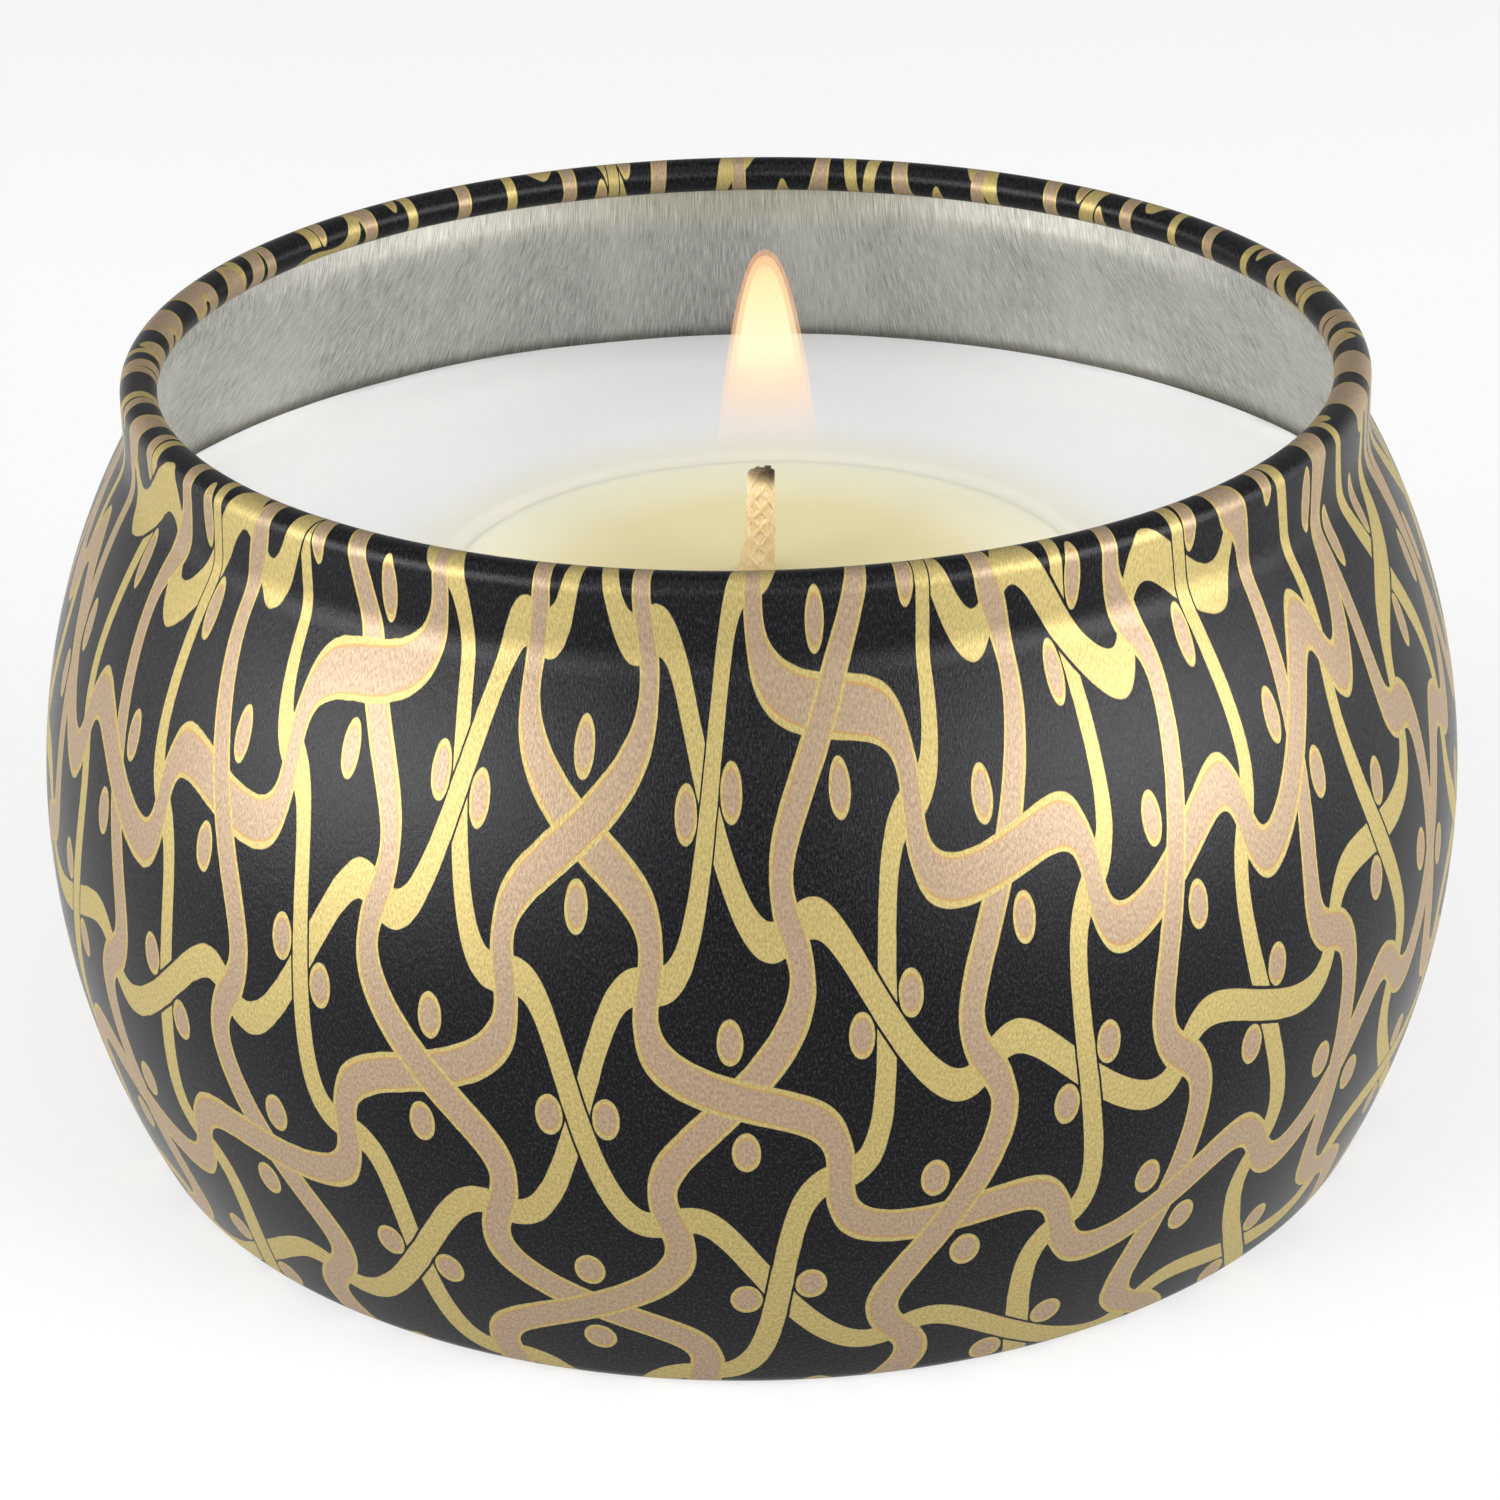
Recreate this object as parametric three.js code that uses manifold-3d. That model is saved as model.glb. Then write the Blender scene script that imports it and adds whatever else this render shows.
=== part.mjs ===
// A candle poured into a round-bellied tin.
//
// The tin is one piece of printed tinplate: a recessed base panel on a foot ring, a belly of two arcs, a
// hollow fillet up to a short upright neck, and a rim whose cut edge is curled inwards. Inside it are the
// poured wax, the pool of melted wax round the wick, the wick, the stamped tab that holds the wick upright
// and the adhesive disc that fixes the tab to the base.
//
// Millimetres, +Z up. The origin is on the tin's axis, in the plane that the foot ring stands on.

import * as THREE from "three";
import { mergeVertices } from "three/addons/utils/BufferGeometryUtils.js";
import Module from "manifold-3d";

// ---- driving dimensions ----

// Tin
const SHEET = 0.25; // tinplate thickness
const HEIGHT = 44.4;
const BELLY_RADIUS = 39.5;
const BELLY_HEIGHT = 19.3; // where the belly is widest
const LOWER_ARC = 43; // outline radius below the widest line
const UPPER_ARC = 40.7; // outline radius above it
const CORNER_ARC = 1.4; // between the foot ring and the belly
const NECK_RADIUS = 33.8;
const NECK_FILLET = 3.5; // hollow curve from the belly into the neck
const CURL_RADIUS = 1; // outside of the curled rim
const CURL_TURN = THREE.MathUtils.degToRad(300); // how far the edge is rolled round
const PANEL_RADIUS = 29; // flat middle of the base
const PANEL_RISE = 0.8; // how far the panel stands above the foot ring
const PANEL_STEP = 1.4; // width of the sloping step round the panel

// Wax
const GAP = 0.3; // wax shrinks from metal and cotton as it sets
const WAX_HEIGHT = 31.5; // set wax, at the wall
const POOL_RADIUS = 17.4;
const POOL_LEVEL = 30.5; // surface of the melted wax
const LEDGE_RADIUS = 15; // shallow shelf just inside the pool's edge
const LEDGE_DEPTH = 0.9;
const POOL_DEPTH = 3.2; // at the wick
const EDGE_DEPTH = 0.5; // at the pool's edge
const BANK_WIDTH = 1.6; // slope from the set wax down to the pool
const BROW_HEIGHT = 31; // set wax, where the bank begins
const BED_STEPS = [
  [0.75, 0.6], // share of the ledge's radius, share of the pool's depth
  [0.4, 0.9],
  [0, 1],
];

// Wick, tab and adhesive disc
const DISC_RADIUS = 9.5;
const DISC_THICKNESS = 0.8;
const TAB_RADIUS = 10;
const TAB_SHEET = 0.3;
const COLLAR_RADIUS = 1.5; // outside of the tab's collar
const COLLAR_HEIGHT = 6;
const WICK_RADIUS = 0.82; // across the flat of the braid
const WICK_FLATNESS = 0.78; // thickness over width
const WICK_FLARE = 0.3; // where soaked wax climbs the cotton
const SOAK_HEIGHT = 1.8; // how quickly that thickening fades above and below the pool's surface
const TIP_TAPER = 0.75; // top's radius over the radius just below it
const FLATTENED_BY = 0.25; // share of the rise above the collar over which the braid goes flat
const WICK_TOP = 37.1;
const WICK_LEAN = 0.7; // sideways, from the collar to the tip

// Facets
const TIN_SEGMENTS = 48;
const CORNER_STEPS = 3;
const BELLY_STEPS = 6; // on each of the two belly arcs
const FILLET_STEPS = 4;
const CURL_STEPS = 10;
const FLARE_STEP = 1.25; // height of a facet of the wick near the pool's surface
const WELD = 1e-4; // points closer than this are one
const SMALL_SEGMENTS = 20;

// ---- shared geometry ----

const DISC_BOTTOM = PANEL_RISE + SHEET;
const TAB_BOTTOM = DISC_BOTTOM + DISC_THICKNESS;
const COLLAR_TOP = TAB_BOTTOM + COLLAR_HEIGHT;
const CURL_CENTRE = new THREE.Vector2(NECK_RADIUS - CURL_RADIUS, HEIGHT - CURL_RADIUS);

const wasm = await Module();
wasm.setup();

/** Points on an arc of an outline, from one angle to another, both ends included. */
function arc(centre, radius, from, to, steps) {
  return Array.from({ length: steps + 1 }, (_, i) => {
    const angle = from + ((to - from) * i) / steps;
    return new THREE.Vector2(centre.x + radius * Math.cos(angle), centre.y + radius * Math.sin(angle));
  });
}

/** Centres and meeting angles of the four arcs that make the wall's outline. */
function wallArcs() {
  const lower = new THREE.Vector2(BELLY_RADIUS - LOWER_ARC, BELLY_HEIGHT);
  const upper = new THREE.Vector2(BELLY_RADIUS - UPPER_ARC, BELLY_HEIGHT);
  const cornerDrop = BELLY_HEIGHT - CORNER_ARC;
  const cornerReach = Math.sqrt((LOWER_ARC - CORNER_ARC) ** 2 - cornerDrop ** 2);
  const filletReach = NECK_RADIUS + NECK_FILLET - upper.x;
  const filletRise = Math.sqrt((UPPER_ARC + NECK_FILLET) ** 2 - filletReach ** 2);
  return {
    lower,
    upper,
    corner: new THREE.Vector2(lower.x + cornerReach, CORNER_ARC),
    cornerEnd: Math.atan2(-cornerDrop, cornerReach),
    fillet: new THREE.Vector2(NECK_RADIUS + NECK_FILLET, BELLY_HEIGHT + filletRise),
    filletStart: Math.atan2(filletRise, filletReach),
  };
}

const WALL = wallArcs();

/** The base's outline from the axis to the foot ring, set inwards from the outer skin. */
function baseOutline(inset) {
  const slope = Math.atan2(PANEL_RISE, PANEL_STEP);
  const shift = inset * Math.tan(slope / 2);
  return [
    new THREE.Vector2(0, PANEL_RISE + inset),
    new THREE.Vector2(PANEL_RADIUS + shift, PANEL_RISE + inset),
    new THREE.Vector2(PANEL_RADIUS + PANEL_STEP + shift, inset),
  ];
}

/** The belly's outline from the foot ring up to a height, set inwards from the outer skin. */
function bellyOutline(inset, topAngle) {
  return [
    ...arc(WALL.corner, CORNER_ARC - inset, -Math.PI / 2, WALL.cornerEnd, CORNER_STEPS),
    ...arc(WALL.lower, LOWER_ARC - inset, WALL.cornerEnd, 0, BELLY_STEPS).slice(1),
    ...arc(WALL.upper, UPPER_ARC - inset, 0, topAngle, BELLY_STEPS).slice(1),
  ];
}

/** The neck and curled rim, set inwards from the outer skin. */
function rimOutline(inset) {
  return [
    ...arc(WALL.fillet, NECK_FILLET + inset, WALL.filletStart + Math.PI, Math.PI, FILLET_STEPS).slice(1),
    ...arc(CURL_CENTRE, CURL_RADIUS - inset, 0, CURL_TURN, CURL_STEPS),
  ];
}

/** A solid turned about +Z from an outline of (radius, height) points that closes on itself or the axis. */
function turned(outline, segments) {
  const geometry = new THREE.LatheGeometry(outline, segments);
  geometry.rotateX(Math.PI / 2);
  return geometry;
}

/** A closed geometry as a solid that can be joined and cut. */
function toSolid(geometry) {
  const bare = geometry.clone();
  bare.deleteAttribute("normal");
  bare.deleteAttribute("uv");
  const merged = mergeVertices(bare, WELD);
  const vertProperties = merged.getAttribute("position").array;
  const triVerts = new Uint32Array(merged.getIndex().array);
  return new wasm.Manifold(new wasm.Mesh({ numProp: 3, vertProperties, triVerts }));
}

/** A solid back as a geometry. */
function toGeometry(solid) {
  const { vertProperties, triVerts } = solid.getMesh();
  const geometry = new THREE.BufferGeometry();
  geometry.setAttribute("position", new THREE.BufferAttribute(vertProperties, 3));
  geometry.setIndex(new THREE.BufferAttribute(triVerts, 1));
  geometry.computeVertexNormals();
  return geometry;
}

function part(name, geometry, color, roughness, metalness) {
  const mesh = new THREE.Mesh(geometry, new THREE.MeshStandardMaterial({ color, roughness, metalness }));
  mesh.name = name;
  return mesh;
}

// ---- pieces ----

/** The whole tin is one sheet: its outer skin, then its inner skin back to the axis. */
function tinGeometry() {
  const skin = (inset) => [
    ...baseOutline(inset),
    ...bellyOutline(inset, WALL.filletStart),
    ...rimOutline(inset),
  ];
  return turned([...skin(0), ...skin(SHEET).reverse()], TIN_SEGMENTS);
}

/** The wick's braid, thickened by grow: turned, then flattened and leaned over above the collar. */
function wickGeometry(grow) {
  const girth = (z) => WICK_RADIUS + WICK_FLARE * Math.exp(-(((z - POOL_LEVEL) / SOAK_HEIGHT) ** 2)) + grow;
  const bottom = TAB_BOTTOM - grow;
  const top = WICK_TOP + grow;
  const heights = [bottom, COLLAR_TOP];
  for (let step = -3; step <= 5; step += 1) {
    heights.push(POOL_LEVEL + step * FLARE_STEP);
  }
  const outline = [
    new THREE.Vector2(0, bottom),
    ...heights.map((z) => new THREE.Vector2(girth(z), z)),
    new THREE.Vector2(girth(top) * TIP_TAPER, top),
    new THREE.Vector2(0, top),
  ];
  const geometry = turned(outline, SMALL_SEGMENTS);
  const position = geometry.getAttribute("position");
  for (let i = 0; i < position.count; i += 1) {
    const rise = Math.max(0, position.getZ(i) - COLLAR_TOP) / (WICK_TOP - COLLAR_TOP);
    const flat = THREE.MathUtils.lerp(1, WICK_FLATNESS, Math.min(1, rise / FLATTENED_BY));
    position.setX(i, position.getX(i) + WICK_LEAN * rise);
    position.setY(i, position.getY(i) * flat);
  }
  return geometry;
}

/** The stamped tab: a thin disc with a collar that grips the wick. */
function tabGeometry() {
  const inside = COLLAR_RADIUS - TAB_SHEET;
  return turned(
    [
      new THREE.Vector2(inside, TAB_BOTTOM),
      new THREE.Vector2(TAB_RADIUS, TAB_BOTTOM),
      new THREE.Vector2(TAB_RADIUS, TAB_BOTTOM + TAB_SHEET),
      new THREE.Vector2(COLLAR_RADIUS + TAB_SHEET, TAB_BOTTOM + TAB_SHEET),
      new THREE.Vector2(COLLAR_RADIUS, TAB_BOTTOM + 2 * TAB_SHEET),
      new THREE.Vector2(COLLAR_RADIUS, COLLAR_TOP),
      new THREE.Vector2(inside, COLLAR_TOP),
      new THREE.Vector2(inside, TAB_BOTTOM),
    ],
    SMALL_SEGMENTS * 2,
  );
}

/** The bowl that the flame has melted, from its edge down to the axis, set inwards by inset. */
function bowlOutline(inset) {
  const bed = POOL_LEVEL + inset;
  return [
    new THREE.Vector2(POOL_RADIUS - inset, bed - EDGE_DEPTH),
    new THREE.Vector2(LEDGE_RADIUS - inset, bed - LEDGE_DEPTH),
    ...BED_STEPS.map(([reach, depth]) => new THREE.Vector2(LEDGE_RADIUS * reach, bed - POOL_DEPTH * depth)),
  ];
}

/** The set wax: the tin's inside, less the melted bowl, the wick and the tab on its adhesive disc. */
function waxGeometry() {
  const inset = SHEET + GAP;
  const topAngle = Math.asin((WAX_HEIGHT - BELLY_HEIGHT) / (UPPER_ARC - inset));
  const block = toSolid(
    turned(
      [
        ...baseOutline(inset),
        ...bellyOutline(inset, topAngle),
        new THREE.Vector2(POOL_RADIUS + BANK_WIDTH, BROW_HEIGHT),
        new THREE.Vector2(POOL_RADIUS, POOL_LEVEL),
        ...bowlOutline(0),
      ],
      TIN_SEGMENTS,
    ),
  );
  const pocket = toSolid(
    turned(
      [
        new THREE.Vector2(0, 0),
        new THREE.Vector2(TAB_RADIUS + GAP, 0),
        new THREE.Vector2(TAB_RADIUS + GAP, TAB_BOTTOM + TAB_SHEET + GAP),
        new THREE.Vector2(COLLAR_RADIUS + TAB_SHEET + GAP, TAB_BOTTOM + 2 * TAB_SHEET + GAP),
        new THREE.Vector2(COLLAR_RADIUS + GAP, COLLAR_TOP + GAP),
        new THREE.Vector2(0, COLLAR_TOP + GAP),
      ],
      SMALL_SEGMENTS * 2,
    ),
  );
  return toGeometry(block.subtract(pocket).subtract(toSolid(wickGeometry(GAP))));
}

/** The melted wax that lies in the bowl round the wick. */
function poolGeometry() {
  const lens = toSolid(
    turned(
      [
        ...bowlOutline(GAP).reverse(),
        new THREE.Vector2(POOL_RADIUS - GAP, POOL_LEVEL),
        new THREE.Vector2(0, POOL_LEVEL),
      ],
      TIN_SEGMENTS,
    ),
  );
  return toGeometry(lens.subtract(toSolid(wickGeometry(GAP))));
}

/** The foam adhesive disc under the tab. */
function discGeometry() {
  const geometry = new THREE.CylinderGeometry(DISC_RADIUS, DISC_RADIUS, DISC_THICKNESS, SMALL_SEGMENTS * 2);
  geometry.rotateX(Math.PI / 2);
  return geometry;
}

// ---- assembly ----

const candleTin = new THREE.Group();
candleTin.name = "candle_tin";

const adhesiveDisc = part("adhesive_disc", discGeometry(), 0xe9e6df, 0.9, 0);
adhesiveDisc.position.z = DISC_BOTTOM + DISC_THICKNESS / 2;

candleTin.add(
  part("tin_body", tinGeometry(), 0x17171b, 0.38, 0.5),
  adhesiveDisc,
  part("wick_tab", tabGeometry(), 0xb9bbbc, 0.35, 1),
  part("wick", wickGeometry(0), 0xd9b98a, 0.85, 0),
  part("set_wax", waxGeometry(), 0xe6e5df, 0.5, 0),
  part("melt_pool", poolGeometry(), 0xe3d9a8, 0.1, 0),
);

export default candleTin;
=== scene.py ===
"""The looks of a lit candle in a round-bellied printed tin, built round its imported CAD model.

The tin is turned from one outline and keeps, at every point, the place where that point lay on the flat disc
of tinplate before it was drawn, so the print stretches up the wall as it does on a real drawn tin.
"""

import math
import random

import bpy
import numpy as np
from mathutils import Matrix, Vector, noise


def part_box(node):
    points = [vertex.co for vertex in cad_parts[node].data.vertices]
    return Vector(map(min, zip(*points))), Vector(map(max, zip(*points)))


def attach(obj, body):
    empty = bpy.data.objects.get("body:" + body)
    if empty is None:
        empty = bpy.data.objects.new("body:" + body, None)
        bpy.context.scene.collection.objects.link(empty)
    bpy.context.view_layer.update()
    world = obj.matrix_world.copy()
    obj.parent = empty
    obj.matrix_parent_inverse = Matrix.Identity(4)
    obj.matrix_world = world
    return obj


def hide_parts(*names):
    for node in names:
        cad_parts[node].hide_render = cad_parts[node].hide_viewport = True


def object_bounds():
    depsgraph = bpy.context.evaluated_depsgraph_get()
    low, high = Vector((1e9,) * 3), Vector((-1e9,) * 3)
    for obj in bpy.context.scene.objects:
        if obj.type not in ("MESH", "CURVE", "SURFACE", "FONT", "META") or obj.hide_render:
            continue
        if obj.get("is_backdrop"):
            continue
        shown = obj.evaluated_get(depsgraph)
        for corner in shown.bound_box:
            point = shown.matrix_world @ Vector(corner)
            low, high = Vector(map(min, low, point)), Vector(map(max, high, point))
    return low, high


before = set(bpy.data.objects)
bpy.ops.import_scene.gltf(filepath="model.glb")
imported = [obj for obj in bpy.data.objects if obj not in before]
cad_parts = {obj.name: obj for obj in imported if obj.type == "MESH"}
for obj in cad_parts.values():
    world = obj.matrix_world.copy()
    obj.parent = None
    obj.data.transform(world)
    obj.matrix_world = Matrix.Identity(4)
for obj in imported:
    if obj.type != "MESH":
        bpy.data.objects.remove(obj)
CAD_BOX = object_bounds()

bl_info = {
    "name": "Candle tin",
    "version": (1, 0, 0),
    "blender": (4, 5, 0),
    "location": "3D View > Sidebar > Candle",
    "description": "Builds a lit candle in a printed tin, piece by piece",
    "category": "Object",
}

MM = 0.001
BODY = "root"
SHEET_PLACE = "sheet_place"  # where a point of the tin lay on the flat disc, in metres
SHELL_SHARE = "shell_share"  # 0 at the foot of a flame shell, 1 at its tip
POOL_SHIFT = 1.0 * MM  # how far the pool's middle lies to the right of the wick's foot
BANK_REACH = 0.45 * MM  # how far the bank runs on under the melted wax
BANK_WIDTH = 1.6 * MM  # from the shore out to the brow of the bank
BROW_RISE = 0.3 * MM  # of the bank's brow over the melted wax
EDGE_DEPTH = 0.5 * MM  # of the melt at its shore
LEDGE_DEPTH = 0.9 * MM  # of the melt at its ledge
BED_STEPS = [(0.75, 0.6), (0.4, 0.9)]  # share of the ledge's radius, share of the pool's depth
WICK_LEAN = 0.78 * MM  # sideways, from the collar to the tip
WICK_FLATNESS = 0.22  # how much thinner than wide the wick is, as a share of its width
FLATTENED_BY = 0.25  # share of the rise above the collar over which the wick goes flat
SOAK_HEIGHT = 1.8 * MM  # how quickly the soaked thickening fades above and below the melt
SOAK_SWELL = 0.4  # thickening at the melt's surface, as a share of the girth
SOAK_LEAN = 0.2 * MM  # to the left, at the melt's surface
BURNT_DEPTH = 0.22 * MM  # from the wick's full height down to its burnt top
BURNT_SLOPE = 0.4  # how steeply the burnt top falls to the left of its peak
BURNT_PEAK = 0.7 * MM  # how far the peak stands to the right
COLLAR_RADIUS = 1.5 * MM  # outside of the tab's collar
TAB_SHEET = 0.3 * MM
TAB_BEND = 0.6 * MM  # inside of the bend between the tab and its collar
FLAME_SHIFT = 1.15 * MM  # how far the flame stands to the right of the wick's foot
SMOOTH_ANGLE = math.radians(38)  # edges sharper than this stay sharp

TIN_LOW, TIN_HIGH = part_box("tin_body")
WAX_LOW, WAX_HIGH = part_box("set_wax")
POOL_LOW, POOL_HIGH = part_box("melt_pool")
WICK_LOW, WICK_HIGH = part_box("wick")
TAB_LOW, TAB_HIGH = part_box("wick_tab")
DISC_LOW, DISC_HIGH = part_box("adhesive_disc")


def colour(red, green, blue):
    """A display colour, each part from 0 to 255, as the linear colour that shaders use."""

    def linear(part):
        share = part / 255
        return share / 12.92 if share <= 0.04045 else ((share + 0.055) / 1.055) ** 2.4

    return (linear(red), linear(green), linear(blue), 1.0)


# ---- settings ----


def length_setting(name, description, millimetres):
    return bpy.props.FloatProperty(
        name=name, description=description, default=millimetres * MM, min=0, subtype="DISTANCE", unit="LENGTH"
    )


def share_setting(name, description, default):
    return bpy.props.FloatProperty(name=name, description=description, default=default, min=-2, max=2)


def colour_setting(name, description, default):
    return bpy.props.FloatVectorProperty(
        name=name, description=description, default=default, min=0, max=1, size=4, subtype="COLOR"
    )


class TinSettings(bpy.types.PropertyGroup):
    """Sizes of the drawn tin."""

    belly_radius: length_setting("Belly radius", "Where the tin is widest", TIN_HIGH.x / MM)
    height: length_setting("Height", "From the foot ring to the top of the rim", TIN_HIGH.z / MM)
    belly_height: length_setting("Belly height", "Height of the widest line", 19.3)
    lower_arc: length_setting("Lower arc", "Outline radius below the widest line", 43)
    upper_arc: length_setting("Upper arc", "Outline radius above the widest line", 40.7)
    corner_arc: length_setting("Corner arc", "Between the foot ring and the belly", 1.4)
    neck_radius: length_setting("Neck radius", "Outside of the upright neck", 33.8)
    neck_fillet: length_setting("Neck fillet", "Hollow curve from the belly into the neck", 3.5)
    curl_radius: length_setting("Curl radius", "Outside of the curled rim", 1)
    panel_radius: length_setting("Panel radius", "Flat middle of the base", 29)
    panel_rise: length_setting("Panel rise", "Height of the base panel over the foot ring", 0.8)
    panel_step: length_setting("Panel step", "Width of the slope round the base panel", 1.4)
    sheet: length_setting("Sheet", "Thickness of the tinplate", 0.25)


class PrintSettings(bpy.types.PropertyGroup):
    """The printed net of ribbons, in sizes on the flat sheet."""

    net_width: length_setting("Net width", "One repeat across the net", 21)
    net_height: length_setting("Net height", "One repeat up the net", 20.5)
    tilt: bpy.props.FloatProperty(
        name="Tilt", description="Turn of the net on the sheet", default=math.radians(13), subtype="ANGLE"
    )
    top_swing: share_setting("Top swing", "How strongly the rose ribbons swing at their crossings", 0.68)
    under_swing: share_setting("Under swing", "How strongly the gold ribbons swing at theirs", 0.56)
    ribbon: length_setting("Ribbon", "Half the width of a rose ribbon with its gold edges", 0.9)
    edge: length_setting("Edge", "Width of a gold edge", 0.2)
    strand: length_setting("Strand", "Half the width of a gold ribbon", 0.68)
    bead: length_setting("Bead", "Radius of the ovals beside the crossings", 0.9)
    bead_offset: length_setting("Bead offset", "From a crossing to the ovals beside it", 2.35)
    lacquer: colour_setting("Lacquer", "Ground colour", colour(4, 4, 5))
    gold: colour_setting("Gold", "Under ribbons and edges", colour(152, 138, 90))
    rose: colour_setting("Rose", "Top ribbons and ovals", colour(138, 120, 99))
    keyline: colour_setting("Keyline", "Thin line inside the gold edges", colour(134, 104, 64))


class FillSettings(bpy.types.PropertyGroup):
    """The wax, its pool, the wick and the flame."""

    gap: length_setting("Gap", "Clearance that the wax leaves as it shrinks", 0.3)
    pool_radius: length_setting("Pool radius", "Outer edge of the melted wax", 17.4)
    ledge_radius: length_setting("Ledge radius", "Edge of the deeper melt", 15)
    pool_depth: length_setting("Pool depth", "At the wick", 3.2)
    wick_radius: length_setting("Wick radius", "Half the width of the braid", 0.82)
    flame_tip: length_setting("Flame tip", "Height of the flame's tip", 49.5)
    flame_radius: length_setting("Flame radius", "Half the width of the flame at its foot", 2.95)
    wax_colour: colour_setting("Wax", "Set wax", colour(233, 234, 235))
    melt_colour: colour_setting("Melted wax", "Deep part of the pool", colour(236, 227, 179))
    cotton: colour_setting("Cotton", "The wick's yarn", colour(240, 214, 164))


def tin_settings():
    return bpy.context.scene.candle_tin


def print_settings():
    return bpy.context.scene.candle_print


def fill_settings():
    return bpy.context.scene.candle_fill


# ---- shader maths ----


class Value:
    """A socket that Python arithmetic works on: each operation adds its Math node."""

    def __init__(self, shader, socket):
        self.shader = shader
        self.socket = socket

    def math(self, operation, *others):
        return self.shader.node("ShaderNodeMath", {"operation": operation}, [self, *others])

    def __add__(self, other):
        return self.math("ADD", other)

    __radd__ = __add__

    def __sub__(self, other):
        return self.math("SUBTRACT", other)

    def __rsub__(self, other):
        return (self * -1) + other

    def __mul__(self, other):
        return self.math("MULTIPLY", other)

    __rmul__ = __mul__

    def __truediv__(self, other):
        return self.math("DIVIDE", other)

    def __abs__(self):
        return self.math("ABSOLUTE")

    def __round__(self):
        return self.math("ROUND")

    def least(self, other):
        return self.math("MINIMUM", other)

    def ramped(self, low, high):
        """0 up to low, 1 from high, and a smooth rise between them."""
        settings = {"interpolation_type": "SMOOTHSTEP"}
        inputs = {"Value": self, "From Min": low, "From Max": high}
        return self.shader.node("ShaderNodeMapRange", settings, inputs)


class Shader:
    """One material, made by adding nodes."""

    def __init__(self, name):
        self.material = bpy.data.materials.new(name)
        self.material.use_nodes = True
        self.tree = self.material.node_tree
        self.tree.nodes.clear()

    def node(self, kind, settings=None, inputs=None, output=0):
        """Any node: its settings are set first, then the values or links of its sockets."""
        made = self.tree.nodes.new(kind)
        for name, value in (settings or {}).items():
            if name == "stops":
                self.set_stops(made.color_ramp, value)
            else:
                setattr(made, name, value)
        pairs = inputs.items() if isinstance(inputs, dict) else enumerate(inputs or [])
        for name, value in pairs:
            socket = made.inputs[name]
            if isinstance(value, Value):
                self.tree.links.new(value.socket, socket)
            else:
                socket.default_value = value
        return Value(self, made.outputs[output])

    @staticmethod
    def set_stops(ramp, stops):
        """A colour ramp's stops, from (place, colour) pairs."""
        while len(ramp.elements) < len(stops):
            ramp.elements.new(1)
        for element, (place, tint) in zip(ramp.elements, stops):
            element.position = place
            element.color = tint

    def mix(self, share, first, second):
        """From the first colour to the second, as share goes from 0 to 1."""
        made = self.tree.nodes.new("ShaderNodeMix")
        made.data_type = "RGBA"
        for place, value in ((0, share), (6, first), (7, second)):
            if isinstance(value, Value):
                self.tree.links.new(value.socket, made.inputs[place])
            else:
                made.inputs[place].default_value = value
        return Value(self, made.outputs[2])

    def parts(self, vector):
        """The X, Y and Z of a vector."""
        made = self.node("ShaderNodeSeparateXYZ", {}, {"Vector": vector})
        outputs = made.socket.node.outputs
        return [Value(self, outputs[axis]) for axis in range(3)]

    def object_place(self):
        return self.node("ShaderNodeTexCoord", output="Object")

    def attribute(self, name, output="Vector"):
        return self.node("ShaderNodeAttribute", {"attribute_name": name}, output=output)

    def scaled(self, vector, scale, turn=0.0):
        inputs = {"Vector": vector, "Rotation": (0, 0, turn), "Scale": scale}
        return self.node("ShaderNodeMapping", {}, inputs)

    def noise(self, vector, scale, detail=2.0, roughness=0.5):
        """Smooth noise from 0 to 1, with scale features to the metre."""
        inputs = {"Vector": vector, "Scale": scale, "Detail": detail, "Roughness": roughness}
        return self.node("ShaderNodeTexNoise", {}, inputs)

    def bump(self, height, distance, strength=1.0, normal=None):
        """A normal from a height of 0 to 1, distance metres deep."""
        inputs = {"Height": height, "Distance": distance, "Strength": strength}
        if normal is not None:
            inputs["Normal"] = normal
        return self.node("ShaderNodeBump", {}, inputs)

    def finish(self, **sockets):
        """The Principled shader and the output. A socket's name has _ where Blender has a space."""
        inputs = {name.replace("_", " "): value for name, value in sockets.items()}
        surface = self.node("ShaderNodeBsdfPrincipled", {}, inputs)
        self.node_output(surface)
        return self.material

    def node_output(self, surface):
        made = self.tree.nodes.new("ShaderNodeOutputMaterial")
        self.tree.links.new(surface.socket, made.inputs["Surface"])


# ---- printed tinplate ----


class Ink:
    """Inks laid one over another: the colour that shows, and how much of it is metallic."""

    def __init__(self, shader, ground):
        self.shader = shader
        self.tint = ground
        self.metal = 0.0

    def lay(self, mask, tint, metal):
        self.tint = self.shader.mix(mask, self.tint, tint)
        self.metal = self.metal + (metal - self.metal) * mask


INK_SOFTNESS = 0.05 * MM  # over which an ink's edge fades
INK_WOBBLE = 0.09 * MM  # how far the ribbons' edges waver
STRAND_GAP = 0.16 * MM  # lacquer that shows beside a gold ribbon where it passes over another
KEYLINE_WIDTH = 0.07 * MM  # of the thin line inside the gold edges


def within(reach, distance):
    """1 where distance is under reach, 0 where it is over, and soft over an ink's edge."""
    return 1 - distance.ramped(reach - INK_SOFTNESS / 2, reach + INK_SOFTNESS / 2)


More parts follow.
